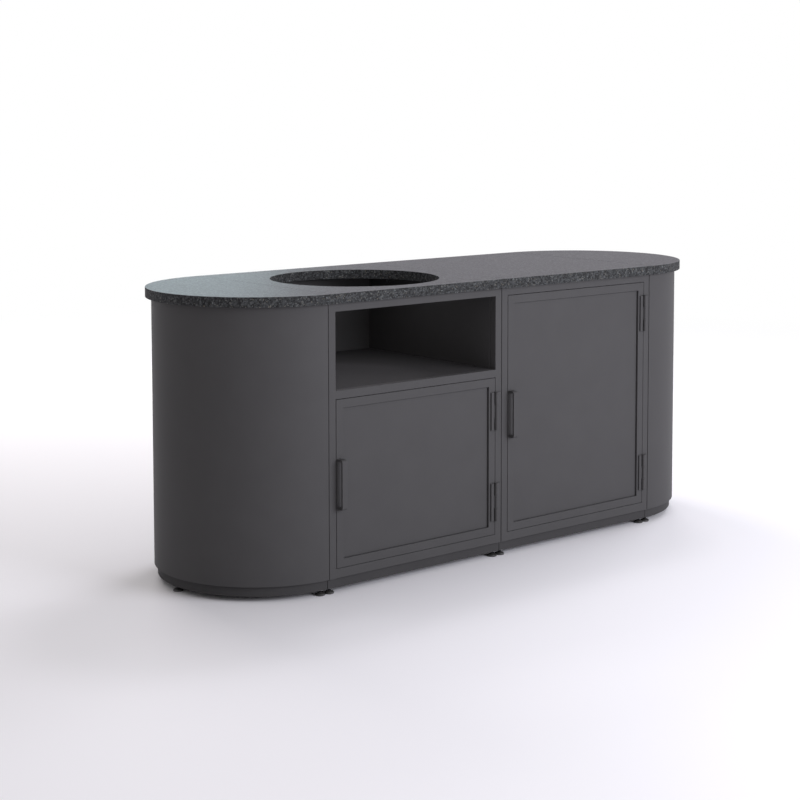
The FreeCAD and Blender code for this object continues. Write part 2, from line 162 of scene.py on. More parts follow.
def softened(corners, radius, steps=4, closed=True):
    """Straight runs between corner points, with every corner turned by an arc of its radius.

    An arc's centre lies on the corner's bisector, and its points swing in equal steps from one
    tangent point to the other. The two ends of an open line stay as they are.
    """
    corners = np.asarray(corners, float)
    if closed:
        before, middle, after = np.roll(corners, 1, 0), corners, np.roll(corners, -1, 0)
    else:
        before, middle, after = corners[:-2], corners[1:-1], corners[2:]
    back = (before - middle) / np.linalg.norm(before - middle, axis=1, keepdims=True)
    ahead = (after - middle) / np.linalg.norm(after - middle, axis=1, keepdims=True)
    half = np.arccos((back * ahead).sum(1, keepdims=True)) / 2
    radius = np.broadcast_to(radius, len(middle))[:, None]
    bisector = (back + ahead) / np.linalg.norm(back + ahead, axis=1, keepdims=True)
    centre = middle + bisector * radius / np.sin(half)
    start = middle + back * radius / np.tan(half) - centre
    end = middle + ahead * radius / np.tan(half) - centre
    turn = (np.pi - 2 * half)[:, None]
    share = np.linspace(0, 1, steps + 1)[None, :, None]
    swing = start[:, None] * np.sin((1 - share) * turn) + end[:, None] * np.sin(share * turn)
    arcs = (centre[:, None] + swing / np.sin(turn)).reshape(-1, corners.shape[1])
    return arcs if closed else np.vstack([corners[:1], arcs, corners[-1:]])


def carried(profile, origin, side, lift):
    """Profile points (a, b) carried along a path: each lies at origin + a * side + b * lift."""
    a = np.asarray(profile)[None, :, :1]
    b = np.asarray(profile)[None, :, 1:]
    origin, side, lift = (np.atleast_2d(vector)[:, None] for vector in (origin, side, lift))
    return origin + a * side + b * lift


def turned(profile, centre, steps=28):
    """Shell of an open profile of (radius, height) carried round an upright axis."""
    angle = np.linspace(0, 2 * np.pi, steps, endpoint=False)[:, None]
    side = np.cos(angle) * (1, 0, 0) + np.sin(angle) * (0, 1, 0)
    return carried(profile, centre, side, UP), True, False


def threaded(centre, bottom, top, steps=20):
    """Shell of a screw thread over turn and height. The radius falls from its crest by a
    triangle wave of height / pitch - turn, so one ridge winds up the stem; both ends close.
    """
    turn = np.linspace(0, 1, steps, endpoint=False)[:, None]
    height = np.append(np.arange(bottom, top, THREAD_PITCH / 4), [top, top])[None]
    height = np.insert(height, 0, bottom, axis=1)
    reach = STEM_RADIUS - THREAD_DEPTH * np.abs((height / THREAD_PITCH - turn) % 1 * 2 - 1)
    reach[:, [0, -1]] = 0
    angle = 2 * np.pi * turn
    x = centre[0] + reach * np.cos(angle)
    y = centre[1] + reach * np.sin(angle)
    return np.stack([x, y, np.broadcast_to(height, x.shape)], -1), True, False


def make_piece(name, shells, material, node, added=False):
    """A mesh object that rides on a node's body and, unless it is added to it, stands for the node.

    A shell is a grid of points and whether it closes along its path and round its profile. Where
    only the profile closes, flat faces close the two ends.
    """
    faces = []
    start = 0
    for grid, path_closes, profile_closes in shells:
        stations, points = grid.shape[:2]
        index = start + np.arange(stations * points).reshape(stations, points)
        start += stations * points
        if profile_closes and not path_closes:
            faces += [index[0].tolist(), index[-1, ::-1].tolist()]
        if path_closes:
            index = np.vstack([index, index[:1]])
        if profile_closes:
            index = np.hstack([index, index[:, :1]])
        quads = np.stack([index[:-1, :-1], index[1:, :-1], index[1:, 1:], index[:-1, 1:]], -1)
        faces += quads.reshape(-1, 4).tolist()
    mesh = bpy.data.meshes.new(name)
    mesh.from_pydata(np.concatenate([shell[0].reshape(-1, 3) for shell in shells]), [], faces)
    shape = bmesh.new()
    shape.from_mesh(mesh)
    bmesh.ops.remove_doubles(shape, verts=shape.verts, dist=MERGE_WITHIN)
    bmesh.ops.recalc_face_normals(shape, faces=shape.faces)
    shape.to_mesh(mesh)
    shape.free()
    mesh.shade_smooth()
    mesh.set_sharp_from_angle(angle=SHARP_EDGE)
    mesh.materials.append(material)
    piece = bpy.data.objects.new(name, mesh)
    scene.collection.objects.link(piece)
    piece.modifiers.new("flat faces stay flat", "WEIGHTED_NORMAL").keep_sharp = True
    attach(piece, frame["nodes"][node]["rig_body"])
    if not added:
        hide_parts(node)
    return piece


nylon = black_nylon()
stem_steel = black_steel()
feet = [name for name in frame["nodes"] if name.startswith("foot_") and name != "foot_inserts"]
for node in feet:
    low, high = box_of(node)
    centre = np.append((low + high)[:2] / 2, low[2])
    brim = (high - low)[0] / 2
    outline = [(0, 0), (brim, 0), (brim, PAD_RIM), (PAD_NECK, PAD_HEIGHT), (0, PAD_HEIGHT)]
    pad = softened(outline, PAD_EASE, closed=False)
    make_piece(node + "_pad", [turned(pad, centre)], nylon, node)
    stem = threaded(centre, low[2] + PAD_HEIGHT - PAD_EASE[2], high[2])
    make_piece(node + "_stem", [stem], stem_steel, node)

# Base frames
# Square steel tube, welded: straight under the box modules, rolled to a half circle under the
# ends. They stand back from the carcass and carry the bushes for the feet. Their powder coat is
# duller than that of the modules, and a shade darker as painted shade for the shade under the
# carcass.
MODULES = ("kamado", "cupboard")
ENDS = {"left_end": -1, "right_end": 1}     # the X direction that each one faces
TUBE_CORNER = 1.2 * MM      # outer radius of the tube's long edges
ARC_STEPS = 96


def powder_coat(name, shades, sheen):
    """Polyester powder coat, sprayed and baked: matt anthracite with a fine orange peel.

    The peel is about 1 mm across and breaks reflections into an even sheen; the film differs a
    little in gloss, and between its two shades, over a hand's breadth. Sheen is the specular
    level, of which plain varnish has 0.5.
    """
    material, tree = new_material(name, "powder_coat")
    place = add_node(tree, "TexCoord", {}).outputs["Object"]
    peel = add_node(tree, "TexNoise", {"Vector": place, "Scale": 1 / (1.1 * MM), "Detail": 2.0})
    cloud = add_node(tree, "TexNoise", {"Vector": place, "Scale": 1 / (90 * MM), "Detail": 3.0})
    tint = add_node(tree, "MixRGB", {
        "Fac": cloud.outputs["Fac"], "Color1": linear(shades[0]), "Color2": linear(shades[1]),
    })
    gloss = add_node(tree, "MapRange", {
        "Value": cloud.outputs["Fac"], "To Min": 0.52, "To Max": 0.6,
    })
    relief = add_node(tree, "Bump", {"Height": peel.outputs["Fac"], "Distance": 0.06 * MM})
    shader = add_node(tree, "BsdfPrincipled", {
        "Base Color": tint.outputs["Color"], "Roughness": gloss.outputs["Result"],
        "Specular IOR Level": sheen, "Normal": relief.outputs["Normal"],
    })
    add_node(tree, "OutputMaterial", {"Surface": shader.outputs["BSDF"]})
    return material


def section_of(width, height, corner):
    """Softened rectangle about its middle."""
    corners = np.array([(-1, -1), (1, -1), (1, 1), (-1, 1)]) * np.array([width, height]) / 2
    return softened(corners, corner)


def bar(low, high, corner=TUBE_CORNER):
    """Shell of a straight bar between two corner points: its section carried along its length."""
    low, high = np.minimum(low, high), np.maximum(low, high)
    size = high - low
    along = int(np.argmax(size))
    across, upward = [axis for axis in range(3) if axis != along]
    ends = np.tile((low + high) / 2, (2, 1))
    ends[:, along] = low[along], high[along]
    section = section_of(size[across], size[upward], corner)
    return carried(section, ends, np.eye(3)[across], np.eye(3)[upward]), False, True


def rolled(section, centre, radius, facing, half_turn):
    """Shell of a section (outward, upward) carried along an arc about an upright axis. The arc
    is even to both sides of the X direction that it faces."""
    angle = np.linspace(-half_turn, half_turn, ARC_STEPS + 1)[:, None]
    out = np.cos(angle) * (facing, 0, 0) + np.sin(angle) * (0, 1, 0)
    return carried(section, centre + radius * out, out, UP), False, True


def half_round(node, facing):
    """Corners and radius of a half-round solid, and the X of its upright axis and of its seam."""
    low, high = box_of(node)
    radius = (high[1] - low[1]) / 2
    seam_face, tip = (low[0], high[0]) if facing > 0 else (high[0], low[0])
    return low, high, radius, tip - facing * radius, seam_face


coat = powder_coat("powder_coat", ("#434243", "#484748"), 0.1)
# The duller coat is also a shade darker: painted shade for the base under the carcass and for the
# shelf in the niche.
dull_painted_shade_coat = powder_coat("dull_painted_shade_powder_coat", ("#3d3c3d", "#424142"), 0.04)
for module in MODULES:
    low, high = box_of(module + "_base_frame")
    tube = high[2] - low[2]
    let_in = tube - TUBE_CORNER
    shells = []
    for y in (low[1], high[1] - tube):
        shells.append(bar((low[0], y, low[2]), (high[0], y + tube, high[2])))
    for x in (low[0], high[0] - tube):
        shells.append(bar((x, low[1] + let_in, low[2]), (x + tube, high[1] - let_in, high[2])))
    make_piece(module + "_base_tubes", shells, dull_painted_shade_coat, module + "_base_frame")

for end, facing in ENDS.items():
    low, high, radius, axis_x, seam_face = half_round(end + "_base_frame", facing)
    tube = high[2] - low[2]
    gap = abs(seam_face - axis_x)
    section = section_of(tube, tube, TUBE_CORNER)
    middle = np.array([axis_x, 0, (low[2] + high[2]) / 2])
    bend = rolled(section, middle, radius - tube / 2, facing, math.acos(gap / radius))
    reach = math.sqrt((radius - tube) ** 2 - (gap + tube) ** 2) + TUBE_CORNER
    straight = bar((seam_face, -reach, low[2]), (seam_face + facing * tube, reach, high[2]))
    make_piece(end + "_base_tubes", [bend, straight], dull_painted_shade_coat, end + "_base_frame")

# Module frames
# Posts and rails of square tube, welded with the joints ground flush, then powder coated. The
# niche module has one more pair of rails at its shelf; the frames of the ends stay hidden.
FRAME_TUBE = 25 * MM
BOTTOM_RAIL = 28 * MM


def dress(node, material):
    """Give a solid that already has the right shape its finish."""
    solid = frame["nodes"][node]
    solid.data.materials.clear()
    solid.data.materials.append(material)


let_in = FRAME_TUBE - TUBE_CORNER
for module in MODULES:
    low, high = box_of(module + "_frame")
    sides = (low[0], high[0] - FRAME_TUBE)
    depths = (low[1], high[1] - FRAME_TUBE)
    levels = [(low[2], low[2] + BOTTOM_RAIL), (high[2] - FRAME_TUBE, high[2])]
    shells = []
    for x in sides:
        for y in depths:
            shells.append(bar((x, y, low[2]), (x + FRAME_TUBE, y + FRAME_TUBE, high[2])))
        for bottom, top in levels:
            shells.append(bar((x, low[1] + let_in, bottom), (x + FRAME_TUBE, high[1] - let_in, top)))
    if module == "kamado":
        shelf_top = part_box("kamado_shelf")[1][2]
        levels.append((shelf_top - FRAME_TUBE, shelf_top))
    for y in depths:
        for bottom, top in levels:
            shells.append(bar((low[0] + let_in, y, bottom), (high[0] - let_in, y + FRAME_TUBE, top)))
    make_piece(module + "_posts_and_rails", shells, coat, module + "_frame")
for end in ENDS:
    dress(end + "_frame", coat)

# Sheet infill, shelf and bearers
# Flat steel sheet, cut, bored for the seam bolts and powder coated: floors, side linings, backs
# and the wall of each end. The shelf of the niche, with the duller coat of the base, lies on
# four bearers of square tube. That coat's darker colour is painted shade for the niche's shade.
BEARER_SPREAD = 220 * MM    # between the two middle bearers

for node in frame["nodes"]:
    if node.endswith(("_floor", "left_panel", "right_panel", "back_panel", "inner_panel")):
        dress(node, coat)
# Painted shade: the shelf's darker coat stands in for the shade in the niche.
dress("kamado_shelf", dull_painted_shade_coat)

low, high = box_of("kamado_shelf_bearers")
middle_x = (low[0] + high[0]) / 2
lefts = (low[0], middle_x - (BEARER_SPREAD + FRAME_TUBE) / 2)
rights = (middle_x + (BEARER_SPREAD - FRAME_TUBE) / 2, high[0] - FRAME_TUBE)
shells = [bar((x, low[1], low[2]), (x + FRAME_TUBE, high[1], high[2])) for x in lefts + rights]
make_piece("kamado_shelf_tubes", shells, coat, "kamado_shelf_bearers")

# Rolled skins
# One sheet of 2 mm steel for each end, rolled to a half circle, spot welded to the curved rails
# behind it and powder coated. Its upright edges face the seams.
SKIN_SHEET = 2 * MM
SKIN_EDGE = 0.6 * MM        # cut edges, rounded off by the coat

for end, facing in ENDS.items():
    low, high, radius, axis_x, seam_face = half_round(end + "_skin", facing)
    section = section_of(SKIN_SHEET, high[2] - low[2], SKIN_EDGE)
    middle = np.array([axis_x, 0, (low[2] + high[2]) / 2])
    half_turn = math.acos(abs(seam_face - axis_x) / radius)
    shell = rolled(section, middle, radius - SKIN_SHEET / 2, facing, half_turn)
    make_piece(end + "_rolled_skin", [shell], coat, end + "_skin")

# Seam bolts and foot bushes
# Zinc-plated hex bolts and nuts tie the side rails of two modules together; plated steel bushes
# are pressed into the base tubes for the feet. Only their heads and flanges show.


def zinc_plate():
    """Zinc-plated steel, clear passivated: pale grey metal with a faint cloudy spangle."""
    material, tree = new_material("zinc_plate", "zinc_steel")
    place = add_node(tree, "TexCoord", {}).outputs["Object"]
    spangle = add_node(tree, "TexNoise", {"Vector": place, "Scale": 1 / (3 * MM), "Detail": 3.0})
    tint = add_node(tree, "MixRGB", {
        "Fac": spangle.outputs["Fac"], "Color1": linear("#a9abae"), "Color2": linear("#c9cacd"),
    })
    shine = add_node(tree, "MapRange", {
        "Value": spangle.outputs["Fac"], "To Min": 0.28, "To Max": 0.44,
    })
    shader = add_node(tree, "BsdfPrincipled", {
        "Base Color": tint.outputs["Color"], "Metallic": 1.0, "Roughness": shine.outputs["Result"],
    })
    add_node(tree, "OutputMaterial", {"Surface": shader.outputs["BSDF"]})
    return material


zinc = zinc_plate()
for node in ("module_bolts", "foot_inserts"):
    dress(node, zinc)

# Seam seals
# Black foam strip, stuck to the posts before two modules are bolted together. It lies some way
# inside each seam, front and back, and keeps light and rain out.
SEAL_SET_BACK = 6 * MM      # from the face of the base tube
SEAL_DEPTH = 10 * MM
SEAL_CORNER = 0.4 * MM
SEAMS = {
    "left": ("left_end", "kamado"),
    "middle": ("kamado", "cupboard"),
    "right": ("cupboard", "right_end"),
}


def black_rubber():
    """Black synthetic rubber, foamed or poured: dull and even, with fine pores."""
    material, tree = new_material("black_rubber", "catch_plastic")
    place = add_node(tree, "TexCoord", {}).outputs["Object"]
    pores = add_node(tree, "TexNoise", {"Vector": place, "Scale": 1 / (0.7 * MM), "Detail": 2.0})
    tint = add_node(tree, "MixRGB", {
        "Fac": pores.outputs["Fac"], "Color1": linear("#111112"), "Color2": linear("#1e1e1f"),
    })
    shader = add_node(tree, "BsdfPrincipled", {
        "Base Color": tint.outputs["Color"], "Roughness": 0.65, "IOR": 1.5,
    })
    add_node(tree, "OutputMaterial", {"Surface": shader.outputs["BSDF"]})
    return material


rubber = black_rubber()
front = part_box("kamado_base_frame")[0][1] + SEAL_SET_BACK
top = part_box("worktop_kamado")[0][2]
for seam, (left, right) in SEAMS.items():
    left_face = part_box(left + "_base_frame")[1][0]
    right_face, _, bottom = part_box(right + "_base_frame")[0]
    shells = []
    for y in (front, -front - SEAL_DEPTH):
        shells.append(bar((left_face, y, bottom), (right_face, y + SEAL_DEPTH, top), SEAL_CORNER))
    make_piece(f"seam_seal_{seam}", shells, rubber, "kamado_frame", added=True)

# Doors
# A border of square tube, mitred and welded, with the joints ground flush and a flat sheet set
# back in it. A fine groove runs round the sheet. Each door hangs on its right edge in the frame.
DOORS = ("lower_door", "tall_door")
DOOR_CORNER = 0.6 * MM      # tighter than the frame's tube
GROOVE_WIDTH = 1.8 * MM
GROOVE_DEPTH = 1.4 * MM
GROOVE_CORNER = 0.15 * MM

for door in DOORS:
    low, high = box_of(door + "_frame")
    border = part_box(door + "_panel")[0][0] - low[0]
    depth = high[1] - low[1]
    section = section_of(border, depth, DOOR_CORNER) + (border / 2, depth / 2)
    signs = np.array([(-1, -1), (1, -1), (1, 1), (-1, 1)])
    outer = np.where(signs < 0, low[[0, 2]], high[[0, 2]])
    origin = np.insert(outer, 1, low[1], axis=1)
    inward = np.insert(-signs, 1, 0, axis=1)
    shell = carried(section, origin, inward, (0, 1, 0)), True, True
    make_piece(door + "_border", [shell], coat, door + "_frame")
    low, high = box_of(door + "_panel")
    edge = np.array([GROOVE_WIDTH, 0, GROOVE_WIDTH])
    face = bar(low + edge, high - edge, GROOVE_CORNER)
    bed = bar(low + (0, GROOVE_DEPTH, 0), high, GROOVE_CORNER)
    make_piece(door + "_sheet", [face, bed], coat, door + "_panel")

# Bow handles
# Flat steel bar bent to a bow, powder coated like the door, and held from inside the door by two
# button-head screws with a hexagon socket.
HANDLE_BAR = 7 * MM
HANDLE_BEND = 5.5 * MM      # radius at the middle of the bar
HANDLE_CORNER = 1.2 * MM
BEND_STEPS = 9
SCREW_HEAD = 3.8 * MM       # radius
SCREW_SOCKET = 1.25 * MM    # centre to a flat of the hexagon
SCREW_BRIM = 1.25 * SCREW_SOCKET            # radius of the dome's edge, clear of the corners
SCREW_SOCKET_DEPTH = 1.6 * MM
SCREW_HEAD_HEIGHT = 2.6 * MM
SCREW_RADIUS = 2 * MM


def button_head(centre, length, steps=36):
    """Shell of a screw along +Y from its tip, as rings of growing height and changing radius.

    The head is a quarter ellipse. In the socket the radius becomes flat / cos(angle to the
    nearest flat), which is a hexagon; the last ring closes its floor.
    """
    angle = np.linspace(0, 2 * np.pi, steps, endpoint=False)[:, None]
    lean = np.linspace(0, np.pi / 2, 7)
    dome = SCREW_BRIM + (SCREW_HEAD - SCREW_BRIM) * np.cos(lean)
    round_radius = np.concatenate([[0, SCREW_RADIUS, SCREW_RADIUS], [SCREW_HEAD], dome])
    height = np.concatenate([[0, 0, length], [length], length + SCREW_HEAD_HEIGHT * np.sin(lean)])
    flat = SCREW_SOCKET / np.cos((angle + np.pi / 6) % (np.pi / 3) - np.pi / 6)
    top = length + SCREW_HEAD_HEIGHT
    socket_height = np.array([top, top - SCREW_SOCKET_DEPTH, top - SCREW_SOCKET_DEPTH])
    radius = np.hstack([np.tile(round_radius, (steps, 1)), flat, flat, 0 * flat])
    height = np.concatenate([height, socket_height])[None]
    x = centre[0] + radius * np.cos(angle)
    z = centre[2] + radius * np.sin(angle)
    return np.stack([x, np.broadcast_to(centre[1] + height, x.shape), z], -1), True, False


# The bow's path leads out from the door, up round the lower bend and back in round the upper one
quarter = np.linspace(0, np.pi / 2, BEND_STEPS)
angle = np.concatenate([[0], quarter, quarter + np.pi / 2, [np.pi]])
outward = np.stack([0 * angle, -np.sin(angle), -np.cos(angle)], 1)
lower_half = np.arange(len(angle)) <= BEND_STEPS
bend_in = HANDLE_BAR / 2 + HANDLE_BEND
for door in DOORS:
    low, high = box_of(door + "_handle")
    origin = np.empty_like(outward)
    origin[:, 0] = (low[0] + high[0]) / 2
    origin[:, 1] = low[1] + bend_in
    origin[:, 2] = np.where(lower_half, low[2] + bend_in, high[2] - bend_in)
    origin += HANDLE_BEND * outward
    origin[[0, -1], 1] = high[1]
    section = section_of(HANDLE_BAR, high[0] - low[0], HANDLE_CORNER)
    shell = carried(section, origin, outward, (1, 0, 0)), False, True
    make_piece(door + "_bow_handle", [shell], coat, door + "_handle")

    tip, back = box_of(door + "_handle_screws")
    length = back[1] - tip[1] - SCREW_HEAD_HEIGHT
    middle_x = (tip[0] + back[0]) / 2
    levels = (tip[2] + SCREW_HEAD, back[2] - SCREW_HEAD)
    screws = [button_head((middle_x, tip[1], level), length) for level in levels]
    make_piece(door + "_button_screws", screws, zinc, door + "_handle_screws")

# Butt hinges
# Two steel hinges for each door: a leaf on the door with one knuckle, a leaf on the post with
# two, and a pin with a flat head. They were fixed before coating and have the same finish.
HINGE_HEIGHT = 120 * MM
HINGE_BARREL = 6 * MM
HINGE_PIN = 3 * MM
PIN_EASE = 0.3 * MM
HINGE_PLAY = 0.5 * MM       # between two knuckles
HINGE_SLOT = 1.8 * MM       # between a leaf and the barrel
HINGE_LEAF = 5 * MM         # thickness
LEAF_CORNER = 0.7 * MM
KNUCKLE_EASE = 0.6 * MM


def knuckle(axis, bottom, top):
    """Shell of one knuckle: a short round with eased ends about the pin."""
    outline = [(0, bottom), (HINGE_BARREL, bottom), (HINGE_BARREL, top), (0, top)]
    return turned(softened(outline, KNUCKLE_EASE, closed=False), axis)


third = HINGE_HEIGHT / 3
play = HINGE_PLAY / 2
knuckles = {
    "door": [(third + play, 2 * third - play)],
    "frame": [(0, third - play), (2 * third + play, HINGE_HEIGHT)],
}
for joint in [joint for joint in frame["joints"] if joint["type"] == "hinge"]:
    door = joint["child"]
    axis_x, axis_y = joint["pos_m"][:2]
    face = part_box(door + "_frame")[0][1]
    pin_low, pin_high = box_of(door + "_hinge_pins")
    for side, rows in knuckles.items():
        node = f"{door}_hinge_{side}_leaves"
        low, high = box_of(node)
        edge, barrel_side = (low[0], -1) if side == "door" else (high[0], 1)
        near = axis_x + barrel_side * (HINGE_BARREL + HINGE_SLOT)
        root_x = near + barrel_side * LEAF_CORNER
        shells = []
        for bottom in (low[2], high[2] - HINGE_HEIGHT):
            leaf_low = np.array([edge, face - HINGE_LEAF, bottom])
            shells.append(bar(leaf_low, (near, face, bottom + HINGE_HEIGHT), LEAF_CORNER))
            for start, end in rows:
                root = np.array([root_x, face - HINGE_LEAF, bottom + start])
                shells.append(bar(root, (axis_x, face, bottom + end), LEAF_CORNER))
                shells.append(knuckle(np.array([axis_x, axis_y, bottom]), start, end))
        make_piece(node + "_plates", shells, coat, node)
    head = pin_high[2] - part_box(f"{door}_hinge_frame_leaves")[1][2]
    outline = [(0, 0), (HINGE_PIN, 0), (HINGE_PIN, HINGE_HEIGHT), (HINGE_BARREL, HINGE_HEIGHT),
               (HINGE_BARREL, HINGE_HEIGHT + head), (0, HINGE_HEIGHT + head)]
    pin = softened(outline, [PIN_EASE, 0, PIN_EASE, KNUCKLE_EASE], closed=False)
    bottoms = (pin_low[2], pin_high[2] - head - HINGE_HEIGHT)
    shells = [turned(pin, np.array([axis_x, axis_y, bottom])) for bottom in bottoms]
    make_piece(door + "_pins", shells, coat, door + "_hinge_pins")

# Magnet catches
# A black plastic housing on the left lining behind each door's free edge, with a zinc-plated
# pole plate that just clears the closed door.
CATCH_PLATE = 2 * MM
CATCH_MARGIN = 3 * MM
CATCH_CORNER = 1 * MM


def catch_plastic():
    """Black ABS, moulded: smooth and half matt, with a slight unevenness from the mould."""
    material, tree = new_material("catch_plastic", "catch_plastic")
    place = add_node(tree, "TexCoord", {}).outputs["Object"]
    grain = add_node(tree, "TexNoise", {"Vector": place, "Scale": 1 / (1.5 * MM), "Detail": 2.0})
    tint = add_node(tree, "MixRGB", {
        "Fac": grain.outputs["Fac"], "Color1": linear("#1b1b1c"), "Color2": linear("#29292a"),
    })
    relief = add_node(tree, "Bump", {"Height": grain.outputs["Fac"], "Distance": 0.05 * MM})
    shader = add_node(tree, "BsdfPrincipled", {
        "Base Color": tint.outputs["Color"], "Roughness": 0.4, "IOR": 1.53,
        "Normal": relief.outputs["Normal"],
    })
    add_node(tree, "OutputMaterial", {"Surface": shader.outputs["BSDF"]})
    return material


abs_plastic = catch_plastic()
for door in DOORS:
    node = door + "_catch"
    low, high = box_of(node)
    housing_low = low + (0, CATCH_PLATE, 0)
    make_piece(node + "_housing", [bar(housing_low, high, CATCH_CORNER)], abs_plastic, node)
    margin = np.array([CATCH_MARGIN, 0, CATCH_MARGIN])
    plate_high = np.array([high[0], low[1] + CATCH_PLATE, high[2]]) - margin
    make_piece(node + "_plate", [bar(low + margin, plate_high, SKIN_EDGE)], zinc, node)

# Worktop
# Four slabs of dark speckled granite, sawn 30 mm thick and honed to a satin face. The sawn sides
# are duller, and eased along every open edge. The slabs lie on the frames side by side; one has
# a round hole for the grill.
SLAB_EASE = 1.0 * MM
EDGE_STEPS = 32             # points along each side of the pierced slab


def granite():
    """Dark granite, honed: black mica and grey feldspar grains 3 to 5 mm across, in clouds about
    10 mm wide, and small flecks of warm and cool quartz.

    Cells of two sizes stand for the grains, and each cell's own colour picks what it is. Honed
    faces look up and are satin; sawn ones, which look sideways, are nearly matt.
    """
    material, tree = new_material("granite", "granite")
    place = add_node(tree, "TexCoord", {}).outputs["Object"]
    cloud = add_node(tree, "TexNoise", {"Vector": place, "Scale": 1 / (10 * MM), "Detail": 2.0})
    grains = add_node(tree, "TexVoronoi", {"Vector": place, "Scale": 1 / (5.0 * MM)})
    flecks = add_node(tree, "TexVoronoi", {"Vector": place, "Scale": 1 / (3.0 * MM)})
    grain = add_node(tree, "SeparateColor", {"Color": grains.outputs["Color"]})
    fleck = add_node(tree, "SeparateColor", {"Color": flecks.outputs["Color"]})
    shade = add_node(tree, "Math", {
        0: grain.outputs["Red"], 1: cloud.outputs["Fac"],
    }, operation="MULTIPLY")
    feldspar = add_node(tree, "MixRGB", {
        "Fac": shade.outputs["Value"], "Color1": linear("#161617"), "Color2": linear("#595b5d"),
    })
    mica = add_node(tree, "MapRange", {
        "Value": fleck.outputs["Blue"], "From Min": 0.7, "From Max": 0.9, "To Max": 0.5,
    })
    body = add_node(tree, "MixRGB", {
        "Fac": mica.outputs["Result"],
        "Color1": feldspar.outputs["Color"], "Color2": linear("#0a0a0a"),
    })
    quartz = add_node(tree, "MixRGB", {
        "Fac": fleck.outputs["Red"], "Color1": linear("#787164"), "Color2": linear("#71787c"),
    })
    share = add_node(tree, "MapRange", {
        "Value": fleck.outputs["Green"], "From Min": 0.9, "From Max": 1.0, "To Max": 0.65,
    })
    speckled = add_node(tree, "MixRGB", {
        "Fac": share.outputs["Result"],
        "Color1": body.outputs["Color"], "Color2": quartz.outputs["Color"],
    })
    honed = add_node(tree, "MapRange", {
        "Value": grain.outputs["Red"], "To Min": 0.48, "To Max": 0.45,
    })
    facing = add_node(tree, "NewGeometry", {}).outputs["Normal"]
    upward = add_node(tree, "SeparateXYZ", {"Vector": facing})
    gloss = add_node(tree, "MapRange", {
        "Value": upward.outputs["Z"], "To Min": 0.8, "To Max": honed.outputs["Result"],
    })
    shader = add_node(tree, "BsdfPrincipled", {
        "Base Color": speckled.outputs["Color"], "Roughness": gloss.outputs["Result"],
        "Specular IOR Level": 0.23,
    })
    add_node(tree, "OutputMaterial", {"Surface": shader.outputs["BSDF"]})
    return material


stone = granite()
for end, facing in ENDS.items():
    node = "worktop_" + end
    low, high, radius, axis_x, seam_face = half_round(node, facing)
    thickness = high[2] - low[2]
    outline = [(0, 0), (radius, 0), (radius, thickness), (0, thickness)]
    rim = softened(outline, SLAB_EASE, closed=False)
    grid = rolled(rim, np.array([axis_x, 0, low[2]]), 0, facing, np.pi / 2)[0]
    grid[..., 0] = np.maximum(grid[..., 0] * facing, seam_face * facing) * facing
    make_piece(node + "_slab", [(grid, False, True)], stone, node)

low, high = box_of("worktop_cupboard")
make_piece("worktop_cupboard_slab", [bar(low, high, SLAB_EASE)], stone, "worktop_cupboard")

# The pierced slab is a closed band of rings: up the wall of the hole, across the top to the
# outline, down the edge and back below. Front and back edges are eased, the joints are not.
low, high = box_of("worktop_kamado")
hole = next(mount for mount in frame["record"]["mounts"] if mount["kind"] == "bore")
hole_x, hole_y = hole["pos_m"][:2]
hole_radius = hole["dims"]["r_mm"] * MM
middle = (low + high) / 2
half = (high - low) / 2
run = np.linspace(-1, 1, EDGE_STEPS, endpoint=False)
one = np.ones(EDGE_STEPS)
sides = [(run, -one), (one, run), (-run, one), (-one, -run)]
square = np.concatenate([np.stack(side, 1) for side in sides])
outline = middle[:2] + square * half[:2]
angle = np.arctan2(outline[:, 1] - hole_y, outline[:, 0] - hole_x)
thickness = high[2] - low[2]
bracket = [(thickness, 0), (0, 0), (0, thickness), (thickness, thickness)]
ease = softened(bracket, SLAB_EASE, closed=False)[1:-1]
inset, height = ease[:, :1], ease[:, 1:]
wall = np.stack([
    hole_x + (hole_radius + inset) * np.cos(angle),
    hole_y + (hole_radius + inset) * np.sin(angle),
    np.broadcast_to(low[2] + height, (len(ease), len(angle))),
], -1)
edge = np.stack([
    np.broadcast_to(outline[:, 0], (len(ease), len(angle))),
    middle[1] + square[:, 1] * (half[1] - inset),
    np.broadcast_to(low[2] + height, (len(ease), len(angle))),
], -1)
band = np.concatenate([wall, edge[::-1]])
make_piece("worktop_kamado_slab", [(band, True, True)], stone, "worktop_kamado")

# Slab joints
# A bead of black silicone, pressed into the 1 mm joint between two slabs and wiped off a little
# below the face of the stone. It keeps rain out of the modules.
JOINT_SUNK = 1.5 * MM
JOINT_CORNER = 0.2 * MM

for seam, (left, right) in SEAMS.items():
    left_face, back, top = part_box("worktop_" + left)[1]
    right_face, front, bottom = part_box("worktop_" + right)[0]
    sunk = np.array([0, JOINT_SUNK, JOINT_SUNK])
    bead = bar((left_face, front, bottom) + sunk, (right_face, back, top) - sunk, JOINT_CORNER)
    make_piece(f"slab_joint_{seam}", [bead], rubber, "worktop_kamado", added=True)

# Studio floor and surround
# A plain pale floor that takes the kitchen's shadow and runs out to white some metres away.
# Camera and reflections see a surround of white, a little cooler in reflections; the rest of its
# light is dimmer.
FLOOR_HALF = 40.0           # metres
FLOOR_WHITE_FROM = 2.2      # metres from the middle
FLOOR_WHITE_BY = 6.5
SURROUND_LIGHT = 0.46       # against 1.0 for what is seen of it


